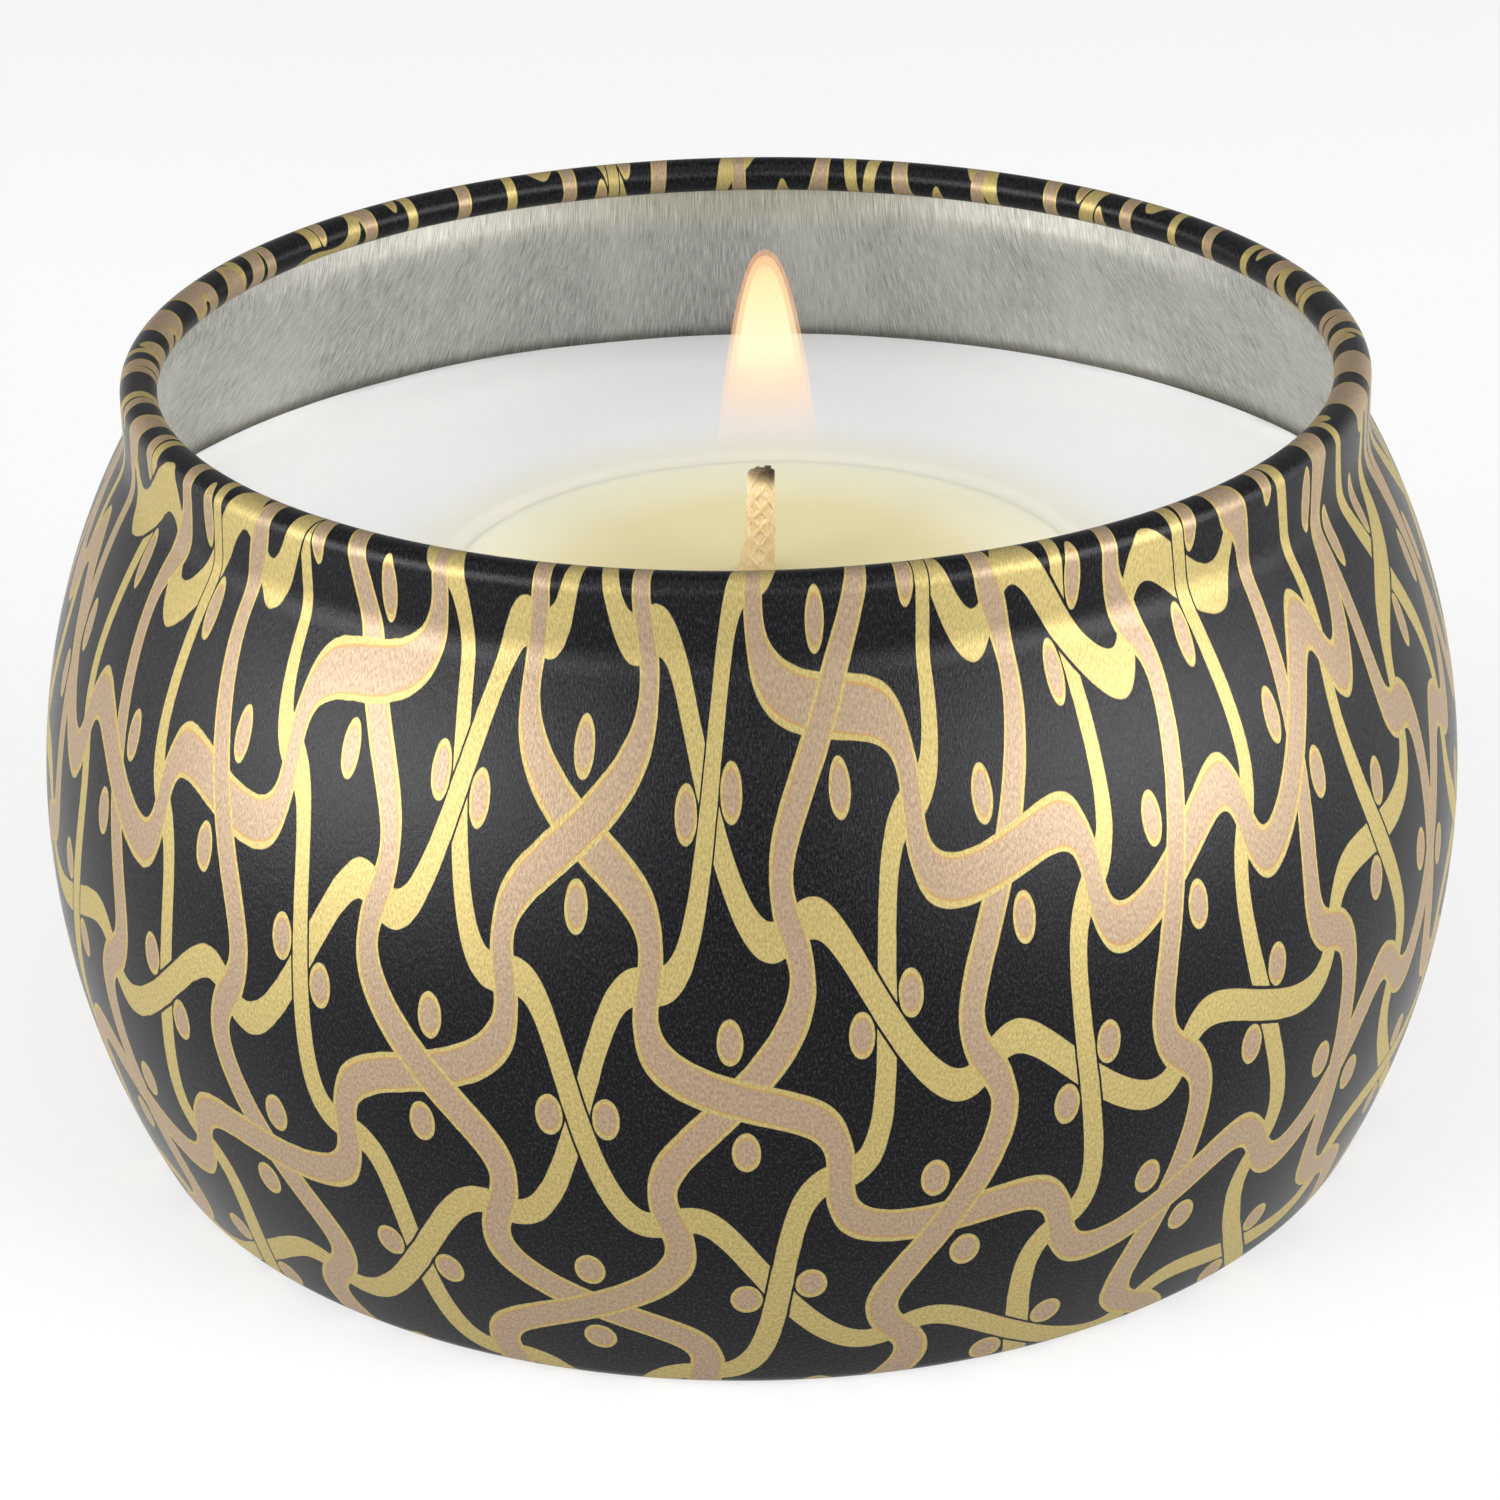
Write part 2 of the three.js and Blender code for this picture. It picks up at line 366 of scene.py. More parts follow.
def ribbon_net(across, along, width, height, swing):
    """Distances to the upper and lower ribbon of a net whose ribbons swing sideways where they cross."""
    column = across / width
    row = along / height
    angle = row * (4 * math.pi)
    swung = row + angle.math("SINE") * (swing / (2 * math.pi))
    steepness = (angle.math("COSINE") * (2 * swing) + 1) / height
    slope = (steepness * steepness + 1 / width**2).math("SQRT")
    rising = column + swung
    falling = column - swung
    rising_number = round(rising)
    falling_number = round(falling)
    rising_distance = abs(rising - rising_number) / slope
    falling_distance = abs(falling - falling_number) / slope
    swap = (rising_number + falling_number).math("PINGPONG", 1.0)
    upper = rising_distance + (falling_distance - rising_distance) * swap
    lower = falling_distance + (rising_distance - falling_distance) * swap
    return upper, lower


def bead_distance(across, along, width, height, offset):
    """Distance to the nearest oval above or below a crossing of the net."""

    def from_crossings(shift):
        column = across / width - shift
        row = along / height - shift
        side = (column - round(column)) * width
        rise = abs(row - round(row)) * height - offset
        return (side * side + rise * rise).math("SQRT")

    return from_crossings(0.0).least(from_crossings(0.5))


def printed_tinplate():
    """Black lacquer with gold and rose metallic ribbons over tinplate's rolled grain."""
    look = print_settings()
    shader = Shader("printed_tinplate")
    place = shader.attribute(SHEET_PLACE)
    wobble = shader.noise(place, 900.0, 2.0)
    x, y, _ = shader.parts(shader.scaled(place, (1, 1, 1), look.tilt))
    across = x + (wobble - 0.5) * INK_WOBBLE
    along = y + (wobble - 0.5) * INK_WOBBLE
    grain = shader.noise(shader.scaled(place, (0.4, 1, 1)), 8000.0, 3.0, 0.75)
    speckle = shader.noise(place, 6000.0, 3.0, 0.8)
    mottle = shader.noise(place, 120.0, 4.0, 0.6)

    ground = shader.mix(mottle, tuple(look.lacquer), colour(8, 8, 9))
    lacquer = shader.mix(speckle.ramped(0.48, 0.7), ground, colour(35, 35, 40))
    gold = shader.mix(speckle.ramped(0.35, 0.65), tuple(look.gold), colour(124, 111, 68))
    rose = shader.mix(speckle.ramped(0.35, 0.65), tuple(look.rose), colour(110, 94, 77))
    ink = Ink(shader, lacquer)

    gold_upper, gold_lower = ribbon_net(
        along, across - look.net_width / 2, look.net_height, look.net_width, look.under_swing
    )
    ink.lay(within(look.strand, gold_lower), gold, 1.0)
    ink.lay(within(look.strand + STRAND_GAP, gold_upper), lacquer, 0.0)
    ink.lay(within(look.strand, gold_upper), gold, 1.0)

    def edged(distance, reach):
        """A rose shape with a gold edge and a thin darker line between the two."""
        ink.lay(within(reach, distance), gold, 1.0)
        ink.lay(within(reach - look.edge, distance), tuple(look.keyline), 0.8)
        ink.lay(within(reach - look.edge - KEYLINE_WIDTH, distance), rose, 0.8)

    rose_upper, rose_lower = ribbon_net(across, along, look.net_width, look.net_height, look.top_swing)
    edged(rose_lower, look.ribbon)
    edged(rose_upper, look.ribbon)
    edged(bead_distance(across, along, look.net_width, look.net_height, look.bead_offset), look.bead)
    turned = bead_distance(
        along, across - look.net_width / 2, look.net_height, look.net_width, look.bead_offset * 0.8
    )
    edged(turned, look.bead)

    height = grain * 0.5 + speckle * (1.4 - ink.metal * 0.9) + ink.metal * 0.15
    return shader.finish(
        Base_Color=ink.tint,
        Metallic=ink.metal * 0.5,
        Roughness=ink.metal * 0.28 + grain * 0.1 + speckle * 0.1 + 0.1,
        Specular_IOR_Level=0.1,
        Normal=shader.bump(height, 0.03 * MM, 0.8),
    )


def bare_tinplate():
    """The tin's unprinted inside: tin over steel, streaked along the way it was rolled."""
    shader = Shader("bare_tinplate")
    place = shader.attribute(SHEET_PLACE)
    streaks = shader.noise(shader.scaled(place, (1, 0.1, 1)), 9500.0, 3.0, 0.75)
    broad = shader.noise(shader.scaled(place, (1, 0.2, 1)), 900.0, 4.0, 0.7)
    clouds = shader.noise(place, 90.0, 3.0)
    tone = shader.mix(streaks.ramped(0.3, 0.7), colour(136, 135, 129), colour(208, 207, 201))
    worn = shader.mix(broad.ramped(0.45, 0.75) * 0.3, tone, colour(150, 149, 142))
    tint = shader.mix(clouds.ramped(0.4, 0.7) * 0.35, worn, colour(212, 210, 203))
    return shader.finish(
        Base_Color=tint,
        Metallic=1.0,
        Roughness=streaks * 0.2 + broad * 0.1 + 0.27,
        Normal=shader.bump(streaks * 0.8 + broad * 0.2, 0.02 * MM, 0.5),
    )


# ---- wax, cotton, tab and flame materials ----


def set_wax_material():
    """Off-white wax: warmer towards the pool, faintly frosted, and darker and browner in patches next to the
    wall.
    """
    look = fill_settings()
    shader = Shader("set_wax")
    place = shader.object_place()
    x, y, _ = shader.parts(place)
    reach = (x * x + y * y).math("SQRT")
    drift = shader.noise(place, 260.0, 3.0)
    frost = shader.noise(place, 2600.0, 3.0, 0.6)
    from_pool = ((x - POOL_SHIFT) * (x - POOL_SHIFT) + y * y).math("SQRT")
    warm_reach = from_pool + (drift - 0.5) * (1.2 * MM)
    warm = 1 - warm_reach.ramped(look.pool_radius - 1 * MM, look.pool_radius + 6 * MM)
    mottled = shader.mix(frost * 0.5, tuple(look.wax_colour), colour(222, 223, 224))
    tint = shader.mix(warm, mottled, colour(228, 223, 203))
    # darker, browner patches on the wax next to the tin wall, at its widest part
    edge = reach.ramped(WAX_HIGH.x * 0.965, WAX_HIGH.x * 0.99) * drift.ramped(0.35, 0.7)
    return shader.finish(
        Base_Color=shader.mix(edge * 0.4, tint, colour(176, 160, 132)),
        Roughness=frost * 0.12 + 0.42,
        Subsurface_Weight=0.5,
        Subsurface_Radius=(1.0, 0.95, 0.85),
        Subsurface_Scale=4 * MM,
        Specular_IOR_Level=0.35,
        Normal=shader.bump(frost * 0.5 + drift * 0.5, 0.02 * MM, 0.4),
    )


def melt_material():
    """Liquid wax: yellow where it is deep, pale over the shallow ledge."""
    look = fill_settings()
    shader = Shader("melted_wax")
    place = shader.object_place()
    x, y, _ = shader.parts(place)
    drift = shader.noise(place, 160.0, 3.0)
    from_middle = ((x - POOL_SHIFT) * (x - POOL_SHIFT) + y * y).math("SQRT")
    reach = from_middle + (drift - 0.5) * (0.8 * MM)
    ledge = reach.ramped(look.ledge_radius - 5 * MM, look.ledge_radius + 0.2 * MM)
    shore = reach.ramped(look.ledge_radius + 0.2 * MM, look.pool_radius)
    deep = shader.mix(drift, tuple(look.melt_colour), colour(230, 219, 168))
    shelf = shader.mix(ledge, deep, colour(238, 232, 202))
    return shader.finish(
        Base_Color=shader.mix(shore, shelf, colour(241, 237, 212)),
        Roughness=drift * 0.06 + 0.16,
        Subsurface_Weight=0.2,
        Subsurface_Radius=(1.0, 0.85, 0.55),
        Subsurface_Scale=1.5 * MM,
        Specular_IOR_Level=0.1,
        Normal=shader.bump(drift, 0.05 * MM, 0.3),
    )


def cotton_material():
    """Braided cotton: dry and tan, glossy where wax has soaked in, charred at the tip."""
    look = fill_settings()
    shader = Shader("cotton_braid")
    place = shader.object_place()
    x, _, z = shader.parts(place)
    fibre = shader.noise(shader.scaled(place, (1, 1, 0.25)), 9000.0, 4.0, 0.65)
    blotch = shader.noise(place, 1500.0, 3.0, 0.6)
    yarn = shader.mix(fibre.ramped(0.3, 0.7), colour(222, 190, 138), tuple(look.cotton))
    mottled = shader.mix(blotch.ramped(0.45, 0.7) * 0.7, yarn, colour(248, 226, 190))
    soaked = 1 - (z + (blotch - 0.5) * MM).ramped(POOL_HIGH.z, POOL_HIGH.z + 1.8 * MM)
    tip = WICK_HIGH.z
    height = z + (x - 0.8 * MM) * 0.4 + (blotch - 0.5) * (0.7 * MM)
    scorched = height.ramped(tip - 1.2 * MM, tip - 0.25 * MM)
    charred = height.ramped(tip - 0.5 * MM, tip)
    browned = shader.mix(scorched, mottled, colour(106, 90, 66))
    black = shader.mix(fibre, colour(24, 18, 14), colour(62, 48, 38))
    return shader.finish(
        Base_Color=shader.mix(charred, browned, black),
        Roughness=0.9 - soaked * 0.55,
        Subsurface_Weight=0.1,
        Subsurface_Radius=(1.0, 0.6, 0.3),
        Subsurface_Scale=0.5 * MM,
        Normal=shader.bump(fibre * 0.7 + blotch * 0.3, 0.08 * MM, 0.7),
    )


def stamped_steel_material():
    """Tinned steel tab: bright, with the marks of its rolling and stamping."""
    shader = Shader("stamped_steel")
    place = shader.object_place()
    lines = shader.noise(shader.scaled(place, (1, 0.04, 1)), 6000.0, 3.0, 0.6)
    stains = shader.noise(place, 500.0, 3.0)
    return shader.finish(
        Base_Color=shader.mix(lines * 0.6 + stains * 0.3, colour(206, 206, 202), colour(150, 149, 144)),
        Metallic=1.0,
        Roughness=lines * 0.2 + stains * 0.12 + 0.2,
        Normal=shader.bump(lines, 0.01 * MM, 0.5),
    )


def foam_material():
    """White foam adhesive: fine cells, slightly soiled."""
    shader = Shader("foam_adhesive")
    place = shader.object_place()
    cells = shader.node("ShaderNodeTexVoronoi", {}, {"Vector": place, "Scale": 5200.0})
    soil = shader.noise(place, 350.0, 3.0)
    return shader.finish(
        Base_Color=shader.mix(soil * 0.6, colour(238, 235, 226), colour(206, 198, 180)),
        Roughness=cells * 0.2 + 0.72,
        Normal=shader.bump(cells, 0.06 * MM, 0.8),
    )


def flame_material(name, stops, opacity, strength):
    """Glowing gas: its colour and its opacity change from the shell's foot to its tip."""
    shader = Shader(name)
    share = shader.attribute(SHELL_SHARE, "Fac")
    flicker = shader.noise(shader.scaled(shader.object_place(), (1, 1, 0.3)), 700.0, 2.0)
    level = share + (flicker - 0.5) * 0.06
    glow = shader.node("ShaderNodeValToRGB", {"stops": stops}, {"Fac": level})
    alpha = shader.node("ShaderNodeValToRGB", {"stops": opacity}, {"Fac": level})
    return shader.finish(
        Base_Color=(0, 0, 0, 1),
        Roughness=1.0,
        Specular_IOR_Level=0.0,
        Emission_Color=glow,
        Emission_Strength=strength,
        Alpha=alpha,
    )


# ---- modelling ----


def deselect():
    if bpy.context.object and bpy.context.object.mode != "OBJECT":
        bpy.ops.object.mode_set(mode="OBJECT")
    bpy.ops.object.select_all(action="DESELECT")


def arc(centre, radius, start, end, steps):
    """Outline points on an arc, both ends included."""
    angles = [start + (end - start) * i / steps for i in range(steps + 1)]
    return [(centre[0] + radius * math.cos(a), centre[1] + radius * math.sin(a)) for a in angles]


def turn(name, outline, segments):
    """A surface turned about Z: the outline of (radius, height) points is drawn by extrusion, then spun."""
    deselect()
    bpy.ops.mesh.primitive_plane_add(size=MM)
    piece = bpy.context.object
    piece.name = piece.data.name = name
    bpy.ops.object.mode_set(mode="EDIT")
    bpy.ops.mesh.select_mode(type="VERT")
    bpy.ops.mesh.merge(type="CENTER")
    bpy.ops.transform.translate(value=(outline[0][0], 0, outline[0][1]))
    for (radius, height), (next_radius, next_height) in zip(outline, outline[1:]):
        step = (next_radius - radius, 0, next_height - height)
        bpy.ops.mesh.extrude_region_move(TRANSFORM_OT_translate={"value": step})
    bpy.ops.mesh.select_all(action="SELECT")
    bpy.ops.mesh.remove_doubles(threshold=1e-7)
    bpy.ops.mesh.spin(steps=segments, angle=2 * math.pi, center=(0, 0, 0), axis=(0, 0, 1))
    bpy.ops.mesh.select_all(action="SELECT")
    bpy.ops.mesh.remove_doubles(threshold=1e-6)
    bpy.ops.mesh.normals_make_consistent(inside=False)
    bpy.ops.object.mode_set(mode="OBJECT")
    return piece


def places(piece):
    """A mesh's vertices as an array, one row each."""
    found = np.empty(len(piece.data.vertices) * 3, np.float32)
    piece.data.vertices.foreach_get("co", found)
    return found.reshape(-1, 3)


def set_places(piece, found):
    piece.data.vertices.foreach_set("co", found.astype(np.float32).ravel())
    piece.data.update()


def dress(piece, *materials):
    piece.data.materials.clear()
    for material in materials:
        piece.data.materials.append(material)


def settle(piece, slot, *nodes):
    """Smooths the piece's shading and ties it to the frame."""
    deselect()
    piece.select_set(True)
    bpy.context.view_layer.objects.active = piece
    bpy.ops.object.shade_smooth_by_angle(angle=SMOOTH_ANGLE)
    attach(piece, BODY)
    if nodes:
        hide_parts(*nodes)


def wall_arcs(tin):
    """Centres of the arcs that make the wall's outline, and the angles where they meet."""
    lower = (tin.belly_radius - tin.lower_arc, tin.belly_height)
    upper = (tin.belly_radius - tin.upper_arc, tin.belly_height)
    drop = tin.belly_height - tin.corner_arc
    reach = math.sqrt((tin.lower_arc - tin.corner_arc) ** 2 - drop**2)
    fillet_reach = tin.neck_radius + tin.neck_fillet - upper[0]
    fillet_rise = math.sqrt((tin.upper_arc + tin.neck_fillet) ** 2 - fillet_reach**2)
    return {
        "lower": lower,
        "upper": upper,
        "corner": (lower[0] + reach, tin.corner_arc),
        "corner_end": math.atan2(-drop, reach),
        "fillet": (tin.neck_radius + tin.neck_fillet, tin.belly_height + fillet_rise),
        "fillet_start": math.atan2(fillet_rise, fillet_reach),
    }


def base_outline(tin, inset):
    """From the axis across the raised panel and down to the foot ring."""
    slope = math.atan2(tin.panel_rise, tin.panel_step)
    shift = inset * math.tan(slope / 2)
    panel = tin.panel_radius + shift
    height = tin.panel_rise + inset
    steps = 6
    middle = [(panel * i / steps, height) for i in range(steps)]
    ease = 0.35 * MM
    rounded = [(panel - ease, height), (panel + ease, height - ease * math.tan(slope))]
    foot = panel + tin.panel_step
    return middle + rounded + [(foot - ease, inset + ease * math.tan(slope)), (foot + ease, inset)]


def belly_outline(tin, inset, top_angle):
    """From the foot ring round the corner and up the belly."""
    arcs = wall_arcs(tin)
    corner = arc(arcs["corner"], tin.corner_arc - inset, -math.pi / 2, arcs["corner_end"], 6)
    lower = arc(arcs["lower"], tin.lower_arc - inset, arcs["corner_end"], 0, 20)
    upper = arc(arcs["upper"], tin.upper_arc - inset, 0, top_angle, 20)
    return corner + lower[1:] + upper[1:]


def rim_outline(tin):
    """The hollow fillet, the upright neck and the curl."""
    arcs = wall_arcs(tin)
    fillet = arc(arcs["fillet"], tin.neck_fillet, arcs["fillet_start"] + math.pi, math.pi, 10)
    centre = (tin.neck_radius - tin.curl_radius, tin.height - tin.curl_radius)
    curl = arc(centre, tin.curl_radius, 0, math.radians(300), 30)
    return fillet[1:] + curl


def sheet_radii(outline):
    """How far each outline point lay from the middle of the flat disc: drawing keeps the sheet's area."""
    area = 0.0
    radii = [0.0]
    for (radius, height), (next_radius, next_height) in zip(outline, outline[1:]):
        area += (radius + next_radius) * math.hypot(next_radius - radius, next_height - height)
        radii.append(math.sqrt(area))
    return np.array(radii)


def build_tin():
    tin = tin_settings()
    outline = base_outline(tin, 0)
    outline += belly_outline(tin, 0, wall_arcs(tin)["fillet_start"])
    outline += rim_outline(tin)
    piece = turn("tin_body_printed", outline, 256)
    found = places(piece)
    radius = np.hypot(found[:, 0], found[:, 1])
    profile = np.array(outline)
    gaps = (radius[:, None] - profile[:, 0]) ** 2 + (found[:, 2][:, None] - profile[:, 1]) ** 2
    flat = sheet_radii(outline)[gaps.argmin(1)]
    angle = np.arctan2(found[:, 1], found[:, 0])
    spread = np.stack([flat * np.cos(angle), flat * np.sin(angle), np.zeros_like(flat)], 1)
    layer = piece.data.attributes.new(SHEET_PLACE, "FLOAT_VECTOR", "POINT")
    layer.data.foreach_set("vector", spread.astype(np.float32).ravel())
    dress(piece, printed_tinplate(), bare_tinplate())
    bpy.ops.object.modifier_add(type="SOLIDIFY")
    wall = piece.modifiers[-1]
    wall.thickness = tin.sheet
    wall.offset = -1
    wall.use_even_offset = True
    wall.material_offset = 1
    wall.material_offset_rim = 1
    bpy.ops.object.modifier_apply(modifier=wall.name)
    settle(piece, "printed_tinplate", "tin_body")


def pool_bed(fill, level, edge_radius, gap):
    """The bowl that the melt fills, from its edge down towards the wick, or that outline raised by gap."""
    bed = [(edge_radius, level - EDGE_DEPTH + gap), (fill.ledge_radius - gap, level - LEDGE_DEPTH + gap)]
    for reach, depth in BED_STEPS:
        bed.append((fill.ledge_radius * reach, level - fill.pool_depth * depth + gap))
    return bed


def wax_outline(tin, fill):
    """The set wax, closed on itself: outside, top, bank, melted bowl, wick bore and tab pocket."""
    inset = tin.sheet + fill.gap
    arcs = wall_arcs(tin)
    top = WAX_HIGH.z
    wall_angle = math.asin((top - tin.belly_height) / (tin.upper_arc - inset))
    pocket = TAB_HIGH.x + fill.gap
    outside = [point for point in base_outline(tin, inset) if point[0] > pocket]
    outside += belly_outline(tin, inset, wall_angle)
    wall = outside[-1][0]
    level = POOL_HIGH.z
    surface = [
        (wall - 0.25 * MM, top + 0.12 * MM),
        (wall - 0.7 * MM, top + 0.02 * MM),
        (wall - 1.6 * MM, top - 0.1 * MM),
    ]
    steps = 20
    brow_radius = fill.pool_radius + BANK_WIDTH
    brow = level + BROW_RISE
    wall_edge, wall_top = surface[-1]
    plain = []
    for i in range(1, steps + 1):
        share = i / steps
        sink = share**1.5
        radius = wall_edge + (brow_radius - wall_edge) * share
        plain.append((radius, wall_top + (brow - wall_top) * sink))
    bank_steps = 10
    bank = []
    foot = level - 0.06 * MM
    foot_radius = fill.pool_radius - BANK_REACH
    for i in range(1, bank_steps + 1):
        share = i / bank_steps
        drop = 0.5 - 0.5 * math.cos(math.pi * share)
        radius = brow_radius + (foot_radius - brow_radius) * share
        bank.append((radius, brow + (foot - brow) * drop))
    bowl = pool_bed(fill, level, foot_radius, 0)
    bore = fill.wick_radius * 0.7
    collar = COLLAR_RADIUS + fill.gap
    inside = [
        (bore, level - fill.pool_depth),
        (bore, TAB_HIGH.z + fill.gap),
        (collar, TAB_HIGH.z + fill.gap),
        (collar, TAB_LOW.z + 2 * TAB_SHEET + fill.gap),
        (pocket, TAB_LOW.z + TAB_SHEET + fill.gap),
        (pocket, tin.panel_rise + inset),
    ]
    return [(pocket, tin.panel_rise + inset), *outside, *surface, *plain, *bank, *bowl, *inside]


def ruffle(piece, low, depth, scale):
    """Moves the vertices above low up and down by smooth noise, as poured wax settles unevenly."""
    found = places(piece)
    for i in np.flatnonzero(found[:, 2] > low):
        found[i, 2] += noise.noise(Vector(found[i]) * scale) * depth
    set_places(piece, found)


def smooth_step(values, low, high):
    """0 up to low, 1 from high, and a smooth rise between them."""
    share = np.clip((values - low) / (high - low), 0, 1)
    return share * share * (3 - 2 * share)


def shift_pool(piece):
    """Moves the melted part sideways, but neither the wick's bore nor the wax by the wall."""
    found = places(piece)
    reach = np.hypot(found[:, 0], found[:, 1])
    share = smooth_step(reach, 3 * MM, 8 * MM) * (1 - smooth_step(reach, 19.5 * MM, 27 * MM))
    found[:, 0] += POOL_SHIFT * share * smooth_step(found[:, 2], 18 * MM, 26 * MM)
    set_places(piece, found)


def build_wax():
    piece = turn("wax_fill", wax_outline(tin_settings(), fill_settings()), 192)
    shift_pool(piece)
    ruffle(piece, WAX_HIGH.z - 0.9 * MM, 0.07 * MM, 140)
    dress(piece, set_wax_material())
    settle(piece, "wax", "set_wax")


def build_pool():
    """Liquid wax: level, and climbing a little way up the wick. Its edge lies just inside the bank."""
    fill = fill_settings()
    level = POOL_HIGH.z
    bore = fill.wick_radius * 0.66
    climb_steps = 10
    climb_width = 1.4 * MM
    climb_height = 0.5 * MM
    climb = []
    for i in range(climb_steps + 1):
        share = i / climb_steps
        climb.append((bore + climb_width * share, level + climb_height * (1 - share) ** 3))
    steps = 16
    shore = fill.pool_radius + 0.12 * MM
    plain = [(climb[-1][0] + (shore - climb[-1][0]) * i / steps, level) for i in range(1, steps + 1)]
    gap = 0.04 * MM
    bed = pool_bed(fill, level, fill.pool_radius - BANK_REACH - gap, gap)
    bed.append((bore, level - fill.pool_depth + gap))
    piece = turn("melted_pool", climb + plain + bed + [climb[0]], 160)
    shift_pool(piece)
    dress(piece, melt_material())
    settle(piece, "melted_wax", "melt_pool")


def wick_place(share, angle, girth):
    """A point of the wick: share 0 at the tab and 1 at the tip, flattened and leaning above the collar."""
    height = WICK_LOW.z + (WICK_HIGH.z - WICK_LOW.z) * share
    rise = max(0.0, height - TAB_HIGH.z) / (WICK_HIGH.z - TAB_HIGH.z)
    flatness = 1 - WICK_FLATNESS * min(1, rise / FLATTENED_BY)
    soak = math.exp(-(((height - POOL_HIGH.z) / SOAK_HEIGHT) ** 2))
    reach = girth * (1 + SOAK_SWELL * soak)
    lean = WICK_LEAN * rise - SOAK_LEAN * soak
    return Vector((lean + reach * math.cos(angle), reach * math.sin(angle) * flatness, height))


def yarn(points, radius):
    """One strand of yarn through the points, as a closed mesh."""
    deselect()
    bpy.ops.curve.primitive_nurbs_path_add()
    strand = bpy.context.object
    curve = strand.data
    curve.splines.clear()
    spline = curve.splines.new("POLY")
    spline.points.add(len(points) - 1)
    for point, place in zip(spline.points, points):
        point.co = (*place, 1)
    for point, share in zip(spline.points, np.linspace(0, 1, len(points))):
        point.radius = 1 - 0.45 * max(0, share - 0.97) / 0.03
    curve.bevel_depth = radius
    curve.bevel_resolution = 1
    curve.use_fill_caps = True
    bpy.ops.object.convert(target="MESH")
    return strand


def wick_core(girth):
    """The soft inside of the braid, which fills the gaps between its strands."""
    rows = 160
    outline = [(0, 0)] + [(girth, i * MM) for i in range(rows + 1)] + [(0, rows * MM)]
    piece = turn("wick_core", outline, 32)
    found = places(piece)
    for i, (x, y, z) in enumerate(found):
        found[i] = wick_place(z / MM / rows * 0.99, math.atan2(y, x), math.hypot(x, y))
    set_places(piece, found)
    return piece


def trim_wick(piece):
    """Burns the wick's top down to a ragged slope that falls to the left."""
    found = places(piece)
    for i in np.flatnonzero(found[:, 2] > WICK_HIGH.z - 1 * MM):
        ragged = noise.noise(Vector(found[i]) * Vector((3000, 3000, 0))) * (0.12 * MM)
        burnt = WICK_HIGH.z - BURNT_DEPTH - BURNT_SLOPE * max(0, BURNT_PEAK - found[i, 0]) + ragged
        found[i, 2] = min(found[i, 2], burnt)
    set_places(piece, found)


def build_wick():
    fill = fill_settings()
    chance = random.Random(7)
    strands = 10
    turns = 6.5
    steps = 200
    radius = fill.wick_radius * 0.26
    made = []
    for number in range(strands):
        way = 1 if number % 2 else -1
        start = 2 * math.pi * number / strands
        stop = 1 - chance.uniform(0, 0.004)
        points = []
        for step in range(steps + 1):
            share = stop * step / steps
            angle = start + way * 2 * math.pi * turns * share
            weave = math.cos(angle * strands / 4 + way * math.pi / 4)
            girth = fill.wick_radius - radius + 0.03 * MM * weave * way
            points.append(wick_place(share, angle, girth))
        made.append(yarn(points, radius))
    made.append(wick_core(fill.wick_radius * 0.92))
    deselect()
    for strand in made:
        strand.select_set(True)
    bpy.context.view_layer.objects.active = made[0]
    bpy.ops.object.join()
    piece = bpy.context.object
    piece.name = piece.data.name = "wick_braid"
    bpy.ops.object.transform_apply(location=True, rotation=True, scale=True)
    trim_wick(piece)
    dress(piece, cotton_material())
    settle(piece, "cotton_braid", "wick")


def build_tab():
    """The stamped tab: a disc with pressed ribs, and a collar that grips the wick."""
    sheet = TAB_SHEET
    outer = COLLAR_RADIUS
    inner = outer - sheet
    low = TAB_LOW.z
    high = TAB_HIGH.z
    rim = TAB_HIGH.x
    bend = TAB_BEND
    shoulder = arc((outer + bend, low + sheet + bend), bend, -math.pi / 2, -math.pi, 5)
    under = arc((outer + bend, low + sheet + bend), bend + sheet, -math.pi, -math.pi / 2, 5)
    steps = 12
    top = [(rim + (outer + bend - rim) * i / steps, low + sheet) for i in range(steps)]
    bottom = [(outer + bend + (rim - outer - bend) * i / steps, low) for i in range(1, steps + 1)]
    outline = [*top, *shoulder, (outer, high), (inner, high), *under, *bottom, top[0]]
    piece = turn("wick_tab_stamped", outline, 96)
    found = places(piece)
    reach = np.hypot(found[:, 0], found[:, 1])
    angle = np.arctan2(found[:, 1], found[:, 0])
    band = np.clip((reach - 3.4 * MM) / (1.2 * MM), 0, 1) * np.clip((8.8 * MM - reach) / (1.2 * MM), 0, 1)
    rib = np.clip(np.cos(angle * 4) * 3 - 2, 0, 1) * (found[:, 2] < low + 2 * sheet)
    found[:, 2] += 0.24 * MM * band * rib
    set_places(piece, found)
    dress(piece, stamped_steel_material())
    settle(piece, "stamped_steel", "wick_tab")


def build_disc():
    """The foam disc under the tab, its edge bulging a little where it is pressed."""
    deselect()
    depth = DISC_HIGH.z - DISC_LOW.z
    bpy.ops.mesh.primitive_cylinder_add(
        vertices=96, radius=DISC_HIGH.x - 0.1 * MM, depth=depth, location=(0, 0, DISC_LOW.z + depth / 2)
    )
    piece = bpy.context.object
    piece.name = piece.data.name = "adhesive_disc_foam"
    bpy.ops.object.transform_apply(location=True, rotation=True, scale=True)
    bpy.ops.object.modifier_add(type="BEVEL")
    soft = piece.modifiers[-1]
    soft.width = depth * 0.3
    soft.segments = 4
    bpy.ops.object.modifier_apply(modifier=soft.name)
    dress(piece, foam_material())
    settle(piece, "foam_adhesive", "adhesive_disc")


